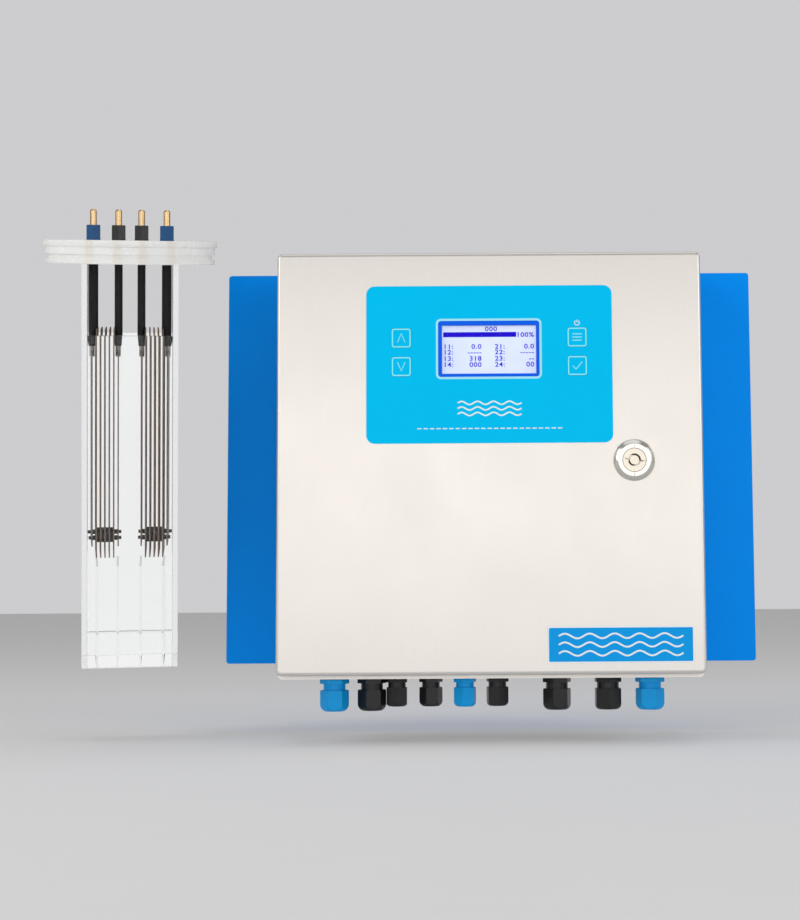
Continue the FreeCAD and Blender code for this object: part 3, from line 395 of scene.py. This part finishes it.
def flat_mesh_of(curve, name, transform, y):
    """The mesh of a curve, moved to a plane in front of the door."""
    holder = bpy.data.objects.new(name + "_curve", curve)
    bpy.context.scene.collection.objects.link(holder)
    bpy.context.view_layer.update()
    graph = bpy.context.evaluated_depsgraph_get()
    mesh = bpy.data.meshes.new_from_object(holder.evaluated_get(graph))
    bpy.data.objects.remove(holder)
    mesh.transform(Matrix.Translation((0.0, y, 0.0)) @ transform)
    mesh.name = name
    return mesh


def joined(name, meshes, look, body):
    """Several meshes as one piece."""
    bm = bmesh.new()
    for mesh in meshes:
        bm.from_mesh(mesh)
        bpy.data.meshes.remove(mesh)
    bmesh.ops.remove_doubles(bm, verts=bm.verts, dist=1e-7)
    mesh = bpy.data.meshes.new(name)
    bm.to_mesh(mesh)
    bm.free()
    return piece(name, mesh, look, body)


# ---------------------------------------------------------------- keypad foil

INK = 0.00006
overlay_low, overlay_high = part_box("keypad_overlay")
FOIL_Y = overlay_low.y
DISPLAY_FRAME_X = (-50.2, 49.4)
DISPLAY_FRAME_Z = (79.6, 136.8)
FIELD_X = (-44.4, 44.1)
FIELD_Z = (84.7, 130.2)


def outline_piece(name, x, z, radius, width, y, look, body):
    """A printed frame with round corners, its outer edge on the given rectangle."""
    outer = round_rectangle(x, z, radius)
    inner = round_rectangle(grow(x, -width), grow(z, -width), max(radius - width, 0.0002))
    mesh = mesh_from(lambda bm: flat_ring(bm, outer, inner, y - INK, y + INK), name)
    return piece(name, mesh, look, body)


def print_overlay():
    """Pale display frame with a blue mask inside it, round the lit field."""
    x = (DISPLAY_FRAME_X[0] * MM, DISPLAY_FRAME_X[1] * MM)
    z = (DISPLAY_FRAME_Z[0] * MM, DISPLAY_FRAME_Z[1] * MM)
    line = 2.1 * MM
    outline_piece("display_frame", x, z, 4.8 * MM, line, FOIL_Y, PALE_INK, "door")
    outer = round_rectangle(grow(x, -line), grow(z, -line), 3.2 * MM)
    inner = round_rectangle((FIELD_X[0] * MM, FIELD_X[1] * MM), (FIELD_Z[0] * MM, FIELD_Z[1] * MM), 0.0003)
    mesh = mesh_from(lambda bm: flat_ring(bm, outer, inner, FOIL_Y - INK * 0.8, FOIL_Y + INK), "display_mask")
    piece("display_mask", mesh, DEEP_BLUE_INK, "door")


def wave_points(x, z, height, waves, count=48):
    """A sine line between two x places."""
    points = []
    for step in range(count + 1):
        share = step / count
        points.append((x[0] + (x[1] - x[0]) * share, z + height * math.sin(TAU * waves * share)))
    return points


WAVE_HALF = 30 * MM
WAVE_TOP = 57.0
WAVE_ROW = 5.2
WAVE_LINE = 1.5 * MM
DASH_COUNT = 23
DASH_LEFT = -68.0
DASH_PITCH = 6.0
DASH_LENGTH = 4.2 * MM
DASH_Z = 33 * MM
DASH_LINE = 1.1 * MM


def print_waves():
    """Three plain waves on the foil, and a row of dashes under them."""
    strokes = []
    for row in range(3):
        z = (WAVE_TOP - WAVE_ROW * row) * MM
        strokes.append(polyline_mesh("wave", wave_points((-WAVE_HALF, WAVE_HALF), z, 1.5 * MM, 4), WAVE_LINE, FOIL_Y))
    joined("wave_mark", strokes, WHITE_INK, "door")
    dashes = []
    for step in range(DASH_COUNT):
        left = (DASH_LEFT + DASH_PITCH * step) * MM
        dashes.append(polyline_mesh("dash", [(left, DASH_Z), (left + DASH_LENGTH, DASH_Z)], DASH_LINE, FOIL_Y))
    joined("fine_line", dashes, WHITE_INK, "door")


def key_centre(name):
    low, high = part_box(name)
    return (low.x + high.x) / 2, (low.z + high.z) / 2, low.y


def chevron(x, z, up):
    tip = 4.2 * MM * up
    return [(x - 3.6 * MM, z - tip), (x, z + tip), (x + 3.6 * MM, z - tip)]


KEY_HALF = 9.05 * MM
KEY_ROUND = 2.4 * MM
KEY_LINE = 1.3 * MM
SIGN_LINE = 1.25 * MM
POWER_R = 2.3 * MM
POWER_RISE = 13.6 * MM
POWER_LINE = 0.75 * MM


def power_arc(x, z, steps=20):
    """A ring that is open at its top."""
    points = []
    for step in range(steps + 1):
        angle = TAU * (0.09 + 0.82 * step / steps)
        points.append((x + POWER_R * math.sin(angle), z + POWER_R * math.cos(angle)))
    return points


def print_keys():
    """Outline and sign of each key, printed on the key itself, and a power sign over the menu key."""
    for name in ("key_up", "key_down", "key_menu", "key_ok"):
        x, z, y = key_centre(name)
        outline_piece(name + "_outline", (x - KEY_HALF, x + KEY_HALF), (z - KEY_HALF, z + KEY_HALF), KEY_ROUND,
                      KEY_LINE, y, KEY_INK, name)
        if name in ("key_up", "key_down"):
            strokes = [chevron(x, z, 1 if name == "key_up" else -1)]
        elif name == "key_menu":
            strokes = [[(x - 4.6 * MM, z + dz * MM), (x + 4.6 * MM, z + dz * MM)] for dz in (-3.0, 0.0, 3.0)]
        else:
            strokes = [[(x - 4.2 * MM, z - 0.2 * MM), (x - 1.2 * MM, z - 3.4 * MM), (x + 4.6 * MM, z + 3.6 * MM)]]
        meshes = [polyline_mesh(name + "_stroke", stroke, SIGN_LINE, y) for stroke in strokes]
        joined(name + "_sign", meshes, KEY_INK, name)
    x, z, y = key_centre("key_menu")
    z = z + POWER_RISE
    bar = [(x, z + 0.2 * MM), (x, z + 2.9 * MM)]
    strokes = [polyline_mesh("power", line, POWER_LINE, FOIL_Y) for line in (power_arc(x, z), bar)]
    joined("power_sign", strokes, WHITE_INK, "door")


def fill_display():
    """Bar, numerals and dashes on the lit display, under its window."""
    low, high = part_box("lcd_module")
    y = low.y - 0.00012
    left = FIELD_X[0] * MM + 1.1 * MM
    right = FIELD_X[1] * MM - 1.8 * MM
    top = FIELD_Z[1] * MM
    bar_x = (left, left + 68.8 * MM)
    bar_z = (top - 10.6 * MM, top - 5.9 * MM)
    bar = mesh_from(lambda bm: flat_sheet(bm, round_rectangle(bar_x, bar_z, 0.2 * MM), y, y + 0.0001, 0.00003),
                    "display_bar")
    tall = 4.5 * MM
    meshes = [bar, digits_mesh("n", "100%", (right, bar_z[0]), tall, y, "RIGHT")]
    meshes.append(digits_mesh("n", "000", (1.8 * MM, top - 5.0 * MM), tall, y, "CENTER"))
    rows = (
        (21.7, "11:", "0.0", "21:", "0.0"),
        (27.0, "12:", "-----", "22:", "-----"),
        (33.0, "13:", "318", "23:", "--"),
        (38.8, "14:", "000", "24:", "00"),
    )
    for drop, name_a, value_a, name_b, value_b in rows:
        z = top - drop * MM
        places = ((name_a, left, "LEFT"), (value_a, left + 36.0 * MM, "RIGHT"),
                  (name_b, left + 48.6 * MM, "LEFT"), (value_b, right, "RIGHT"))
        meshes += [digits_mesh("n", text, (x, z), tall, y, align) for text, x, align in places]
    joined("display_figures", meshes, DISPLAY_INK, "door")


def print_rating_plate():
    """White edge and water lines on the small plate."""
    low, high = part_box("rating_plate")
    outline_piece("plate_border", (low.x, high.x), (low.z, high.z), 2.0 * MM, 1.0 * MM, low.y, WHITE_INK, "door")
    strokes = []
    for row in range(3):
        z = (low.z + high.z) / 2 + (8.0 - 8.0 * row) * MM
        span = (low.x + 10 * MM, high.x - 10 * MM)
        strokes.append(polyline_mesh("wave", wave_points(span, z, 2.2 * MM, 5, 80), 1.7 * MM, low.y))
    joined("plate_waves", strokes, WHITE_INK, "door")


# ---------------------------------------------------------------- turned and polished pieces

def turned(bm, outline, count=96):
    """A closed shape swept round the Z axis from (radius, z) points."""
    rings = []
    for radius, z in outline:
        if radius == 0:
            rings.append([bm.verts.new((0.0, 0.0, z))])
            continue
        angles = [TAU * step / count for step in range(count)]
        rings.append([bm.verts.new((radius * math.cos(a), radius * math.sin(a), z)) for a in angles])
    closed = outline[0][0] != 0
    pairs = list(zip(rings, rings[1:]))
    if closed:
        pairs.append((rings[-1], rings[0]))
    for first, second in pairs:
        for step in range(count):
            after = (step + 1) % count
            corners = [first[step % len(first)], first[after % len(first)]]
            corners += [second[after % len(second)], second[step % len(second)]]
            unique = list(dict.fromkeys(corners))
            if len(unique) > 2:
                bm.faces.new(unique)


def polished_blocks(bm, blocks, edge):
    """Blocks given as (x, y, z) spans, with polished round edges."""
    for spans in blocks:
        made = bmesh.ops.create_cube(bm, size=1.0)["verts"]
        for vert in made:
            for axis in range(3):
                low, high = spans[axis]
                vert.co[axis] = low + (high - low) * (vert.co[axis] + 0.5)
        edges = list({line for vert in made for line in vert.link_edges})
        bmesh.ops.bevel(bm, geom=edges, offset=edge, segments=3, profile=0.5, affect="EDGES")


def scaled_mesh(build, name, transform, smooth=40.0):
    """A mesh built in millimetres, moved into the frame."""
    mesh = mesh_from(build, name, smooth)
    mesh.transform(transform @ Matrix.Scale(MM, 4))
    return mesh


CELL = (
    Matrix.Translation((-0.3448, -0.1230, 0.2189))
    @ Matrix.Rotation(math.radians(10.5), 4, "Z")
    @ Matrix.Rotation(math.radians(9.9), 4, "X")
    @ Matrix.Rotation(math.radians(-0.6), 4, "Y")
)
CELL_HALF = (45.35, 38.0)
CELL_WALL = 5.5
CELL_BOTTOM = -408.6
FLANGE_FOOT = -22.3
WINDOW_SILL = -90.2
FLANGE_R = 82.5
FLANGE_LOWER_R = 80.4
LIP_FOOT = -6.3
GROOVE_TOP = -13.6
GROOVE_FOOT = -17.6
GROOVE_DEPTH = 2.9
ROUNDING = 0.3


def cell_piece(name, build, slot, *replaced):
    made = piece(name, scaled_mesh(build, name, CELL), LOOK[slot], "cell")
    if replaced:
        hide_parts(*replaced)
    return made


def clear_cell():
    """Flange and walls with polished edges."""
    floor = FLANGE_LOWER_R - GROOVE_DEPTH
    eased = FLANGE_LOWER_R - ROUNDING
    flange = [(0, 0), (FLANGE_R - 1.2, 0), (FLANGE_R - 0.35, -0.35), (FLANGE_R, -1.2), (FLANGE_R, LIP_FOOT + 0.6),
              (FLANGE_R - 0.5, LIP_FOOT), (FLANGE_LOWER_R + ROUNDING, LIP_FOOT),
              (FLANGE_LOWER_R, LIP_FOOT - ROUNDING), (FLANGE_LOWER_R, GROOVE_TOP + ROUNDING), (eased, GROOVE_TOP),
              (floor, GROOVE_TOP), (floor, GROOVE_FOOT), (eased, GROOVE_FOOT),
              (FLANGE_LOWER_R, GROOVE_FOOT - ROUNDING), (FLANGE_LOWER_R, FLANGE_FOOT + 0.6),
              (FLANGE_LOWER_R - 0.6, FLANGE_FOOT), (0, FLANGE_FOOT)]
    disc = cell_piece("clear_flange", lambda bm: turned(bm, flange, 128), "clear_acrylic", "cell_flange")
    disc.data.materials[0] = LOOK["frosted_flange"]
    half_x, half_y = CELL_HALF
    side_z = (CELL_BOTTOM, FLANGE_FOOT)
    sides = [((side * half_x, side * (half_x - CELL_WALL)), (-half_y, half_y), side_z) for side in (-1, 1)]
    sides = [(tuple(sorted(x)), y, z) for x, y, z in sides]
    edges = cell_piece("clear_sides", lambda bm: polished_blocks(bm, sides, 0.8), "clear_acrylic",
                       "cell_side_walls")
    edges.data.materials[0] = LOOK["edge_acrylic"]
    inner = half_x - CELL_WALL
    face_z = (CELL_BOTTOM, WINDOW_SILL)
    faces = [((-inner, inner), tuple(sorted((side * half_y, side * (half_y - CELL_WALL)))), face_z)
             for side in (-1, 1)]
    cell_piece("clear_faces", lambda bm: polished_blocks(bm, faces, 0.5), "clear_acrylic", "cell_face_walls")


LOCK = Matrix.Translation((0.1351, 0.0, 0.0025)) @ Matrix.Rotation(math.radians(90), 4, "X")


def crescent(bm, radius, reach, angles, top, steps=20):
    """A thin arc that swells from nothing to its reach and back, inside or outside a radius."""
    rings = []
    for i in range(steps + 1):
        angle = math.radians(angles[0] + (angles[1] - angles[0]) * i / steps)
        far = radius + reach * (0.06 + 0.94 * math.sin(math.pi * i / steps))
        ring = []
        for distance, z in ((radius, top), (far, top), (far, top - 0.3), (radius, top - 0.3)):
            ring.append(bm.verts.new((distance * math.cos(angle), distance * math.sin(angle), z)))
        rings.append(ring)
    for one, two in zip(rings, rings[1:]):
        for i in range(4):
            bm.faces.new((one[i], one[(i + 1) % 4], two[(i + 1) % 4], two[i]))
    bm.faces.new(rings[0])
    bm.faces.new(rings[-1])
    bmesh.ops.recalc_face_normals(bm, faces=bm.faces)


LOCK_R = 19.5
LOCK_FLAT_R = 15.2
LOCK_SEAT_R = 11.3
LOCK_BODY_R = 10.95
LOCK_BORE_R = 8.55
INSERT_R = 10.87
SOCKET_R = 5.95
SOCKET_PIN_R = 4.32
SOCKET_DEPTH = 3.6
MARK_HALF = 0.18
MARKS = ((12.0, 13.8), (-14.9, -12.0))


def lock_mark_and_painted_shade(name, build, body):
    """A dark piece on the lock: its index marks, and the painted shade laid in its hollows."""
    piece(name, scaled_mesh(build, name, LOCK), LOOK["component_black"], body)


def lock_rosette():
    """Bevelled ring and body round the barrel, with its index marks and painted shade in the hollows of its face:
    dark crescents in the key socket and a dark ring in the gap round the insert.
    """
    low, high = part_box("lock_housing")
    face = -low.y / MM
    door = -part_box("door_panel")[0].y / MM
    back = -high.y / MM
    seat = face - SOCKET_DEPTH
    outline = [(LOCK_SEAT_R, face - 0.2), (LOCK_FLAT_R, face - 0.05), (LOCK_FLAT_R + 0.4, face - 0.3),
               (LOCK_R - 0.4, face - 2.7), (LOCK_R, face - 3.3), (LOCK_R, door), (LOCK_BODY_R, door),
               (LOCK_BODY_R, back + 0.6), (LOCK_BODY_R - 0.55, back), (LOCK_BORE_R, back), (LOCK_BORE_R, seat),
               (LOCK_SEAT_R, seat)]
    mesh = scaled_mesh(lambda bm: turned(bm, outline, 128), "lock_rosette", LOCK, 25.0)
    made = piece("lock_rosette", mesh, LOOK["cast_zinc"], "door")
    marks = [((-MARK_HALF, MARK_HALF), span, (face - 0.16, face - 0.02)) for span in MARKS]
    lock_mark_and_painted_shade("lock_marks", lambda bm: polished_blocks(bm, marks, 0.02), "door")
    # Painted shade: two dark crescents on the socket floor stand for the shade inside the key socket.
    outer = (SOCKET_R, -1.5, (-15, 115), seat)
    inner = (SOCKET_PIN_R, 1.1, (165, 290), seat)
    lock_mark_and_painted_shade("socket_outer_painted_shade", lambda bm: crescent(bm, *outer), "lock")
    lock_mark_and_painted_shade("socket_inner_painted_shade", lambda bm: crescent(bm, *inner), "lock")
    # Painted shade: a dark ring in the gap between the insert and the rosette.
    gap = [(INSERT_R, face - 1.0), (LOCK_SEAT_R - 0.02, face - 1.0), (LOCK_SEAT_R - 0.02, face - 1.2),
           (INSERT_R, face - 1.2)]
    lock_mark_and_painted_shade("lock_gap_painted_shade", lambda bm: turned(bm, gap, 96), "door")
    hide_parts("lock_housing")


# ---------------------------------------------------------------- studio

# name, place, the point it faces, size, power and colour
SOFTBOXES = (
    ("front_box", (0.0, -2.6, 0.13), (0.0, -0.15, 0.0), (4.0, 0.85), 18.2, (1.0, 0.972, 0.94)),
    ("left_box", (-1.9, -1.2, 0.9), (-0.2, -0.1, 0.0), (0.7, 1.6), 15.0, (1.0, 0.98, 0.95)),
    ("right_box", (1.9, -1.1, 0.7), (0.1, -0.1, 0.0), (0.7, 1.6), 11.5, (0.97, 0.98, 1.0)),
    ("top_box", (0.0, -0.2, 2.2), (0.0, -0.1, 0.0), (2.0, 1.4), 8.0, (1.0, 1.0, 1.0)),
)
FLOOR_DROP = 0.03
FLOOR_HALF = 6.0


def studio():
    """Pale floor and world, and soft lights."""
    scene = bpy.context.scene
    scene.view_settings.view_transform = "Standard"
    world = bpy.data.worlds.new("studio")
    scene.world = world
    world.use_nodes = True
    background = world.node_tree.nodes["Background"]
    set_inputs(background, {"Color": rgba((0.92, 0.92, 0.92)), "Strength": 0.38})
    seen_world(world.node_tree, background)
    floor_z = cad_bounds[0][2] - FLOOR_DROP
    bm = bmesh.new()
    low = Matrix.Translation((0, 0, floor_z))
    bmesh.ops.create_grid(bm, x_segments=1, y_segments=1, size=FLOOR_HALF, matrix=low)
    mesh = bpy.data.meshes.new("floor")
    bm.to_mesh(mesh)
    bm.free()
    floor = bpy.data.objects.new("floor", mesh)
    scene.collection.objects.link(floor)
    mesh.materials.append(surface("floor_paper", (0.64, 0.64, 0.65), 0.9, 0.0, 300.0, tone=0.01, bump=0.02, **{
        "Specular IOR Level": 0.0, "Emission Color": rgba((1.0, 1.0, 1.0)), "Emission Strength": 0.16}))
    for light in SOFTBOXES:
        softbox(*light)


def seen_world(tree, lighting):
    """The world as it lights the object, as it is seen, and brighter behind clear plastic."""
    paths = add(tree, "ShaderNodeLightPath").outputs
    plain = add(tree, "ShaderNodeBackground", {"Color": rgba((0.98, 0.98, 1.0)), "Strength": 0.62})
    behind = add(tree, "ShaderNodeBackground", {"Color": rgba((1.0, 1.0, 1.0)), "Strength": 0.90})
    seen = add(tree, "ShaderNodeMixShader", {0: paths["Is Camera Ray"], 1: lighting.outputs[0], 2: plain.outputs[0]})
    final = add(tree, "ShaderNodeMixShader", {
        0: paths["Is Transmission Ray"], 1: seen.outputs[0], 2: behind.outputs[0]})
    tree.links.new(final.outputs[0], tree.nodes["World Output"].inputs["Surface"])


def softbox(name, place, target, size, power, colour):
    light = bpy.data.lights.new(name, "AREA")
    light.shape = "RECTANGLE"
    light.size = size[0]
    light.size_y = size[1]
    light.energy = power
    light.color = colour
    made = bpy.data.objects.new(name, light)
    made.location = place
    made.rotation_euler = (Vector(target) - Vector(place)).to_track_quat("-Z", "Y").to_euler()
    made.visible_camera = False
    bpy.context.scene.collection.objects.link(made)
    return made


CAMERA_PLACE = (0.0, -1.930, -0.101)
CAMERA_PITCH = math.radians(5.79)
CAMERA_ROLL = math.radians(0.357)
FOCAL_PIXELS = 1900.0
IMAGE_HEIGHT = 920.0
SHIFT = (-89.4 / IMAGE_HEIGHT, -80.6 / IMAGE_HEIGHT)


def camera():
    data = bpy.data.cameras.new("camera")
    data.lens = data.sensor_width * FOCAL_PIXELS / IMAGE_HEIGHT
    data.shift_x = SHIFT[0]
    data.shift_y = SHIFT[1]
    made = bpy.data.objects.new("camera", data)
    made.location = CAMERA_PLACE
    turn = Matrix.Rotation(math.pi / 2 + CAMERA_PITCH, 4, "X") @ Matrix.Rotation(-CAMERA_ROLL, 4, "Z")
    made.rotation_euler = turn.to_euler()
    bpy.context.scene.collection.objects.link(made)
    bpy.context.scene.camera = made


# ---------------------------------------------------------------- the whole scene

camera()
studio()
dress_cad_nodes()
print_overlay()
print_waves()
print_keys()
fill_display()
print_rating_plate()
clear_cell()
lock_rosette()
